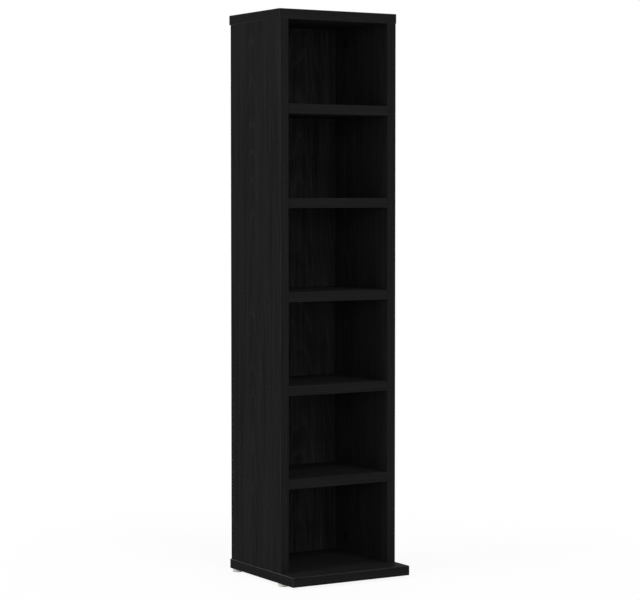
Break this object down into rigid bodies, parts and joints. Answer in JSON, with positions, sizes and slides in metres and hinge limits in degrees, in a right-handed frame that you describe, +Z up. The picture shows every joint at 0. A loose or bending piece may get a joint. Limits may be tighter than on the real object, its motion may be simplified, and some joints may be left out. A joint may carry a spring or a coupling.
{
  "type": "media storage tower",
  "caption": "Narrow open tower for disc cases: equal compartments between fixed shelves, a thin back, and a base that runs forward as a lip on small glides.",
  "frame": {"origin": "on the floor, at the centre of the tower's outline seen from above, half way between the base's front edge and the back", "axes": "+Z up, +Y to the back, +X to the right as seen from the front"},
  "size_m": [0.21, 0.2, 0.88],
  "materials": {
    "black_oak_board": "satin laminate with a fine oak grain",
    "black_hardboard": "matt printed hardboard",
    "beech_dowel": "plain beech",
    "black_cam": "black zinc casting",
    "plated_steel": "zinc plated",
    "pale_plastic": "natural nylon"
  },
  "bodies": {
    "root": {"top_panel": "black_oak_board", "base_panel": "black_oak_board", "left_side": "black_oak_board", "right_side": "black_oak_board", "shelf_1": "black_oak_board", "shelf_2": "black_oak_board", "shelf_3": "black_oak_board", "shelf_4": "black_oak_board", "shelf_5": "black_oak_board", "back_panel": "black_hardboard", "shelf_1_dowel_left_front": "beech_dowel", "shelf_1_dowel_left_back": "beech_dowel", "shelf_1_dowel_right_front": "beech_dowel", "shelf_1_dowel_right_back": "beech_dowel", "shelf_2_dowel_left_front": "beech_dowel", "shelf_2_dowel_left_back": "beech_dowel", "shelf_2_dowel_right_front": "beech_dowel", "shelf_2_dowel_right_back": "beech_dowel", "shelf_3_dowel_left_front": "beech_dowel", "shelf_3_dowel_right_front": "beech_dowel", "shelf_4_dowel_left_front": "beech_dowel", "shelf_4_dowel_left_back": "beech_dowel", "shelf_4_dowel_right_front": "beech_dowel", "shelf_4_dowel_right_back": "beech_dowel", "shelf_5_dowel_left_front": "beech_dowel", "shelf_5_dowel_left_back": "beech_dowel", "shelf_5_dowel_right_front": "beech_dowel", "shelf_5_dowel_right_back": "beech_dowel", "top_dowel_left": "beech_dowel", "top_dowel_right": "beech_dowel", "base_dowel_left": "beech_dowel", "base_dowel_right": "beech_dowel", "shelf_3_cam_left": "black_cam", "shelf_3_cam_right": "black_cam", "top_cam_left": "black_cam", "top_cam_right": "black_cam", "base_cam_left": "black_cam", "base_cam_right": "black_cam", "shelf_3_cam_bolt_left": "plated_steel", "shelf_3_cam_bolt_right": "plated_steel", "top_cam_bolt_left": "plated_steel", "top_cam_bolt_right": "plated_steel", "base_cam_bolt_left": "plated_steel", "base_cam_bolt_right": "plated_steel", "glide_front_left": "pale_plastic", "glide_front_right": "pale_plastic", "glide_back_left": "pale_plastic", "glide_back_right": "pale_plastic", "glide_nail_front_left": "plated_steel", "glide_nail_front_right": "plated_steel", "glide_nail_back_left": "plated_steel", "glide_nail_back_right": "plated_steel", "back_nail_left_1": "plated_steel", "back_nail_left_2": "plated_steel", "back_nail_left_3": "plated_steel", "back_nail_right_1": "plated_steel", "back_nail_right_2": "plated_steel", "back_nail_right_3": "plated_steel"}
  },
  "joints": []
}
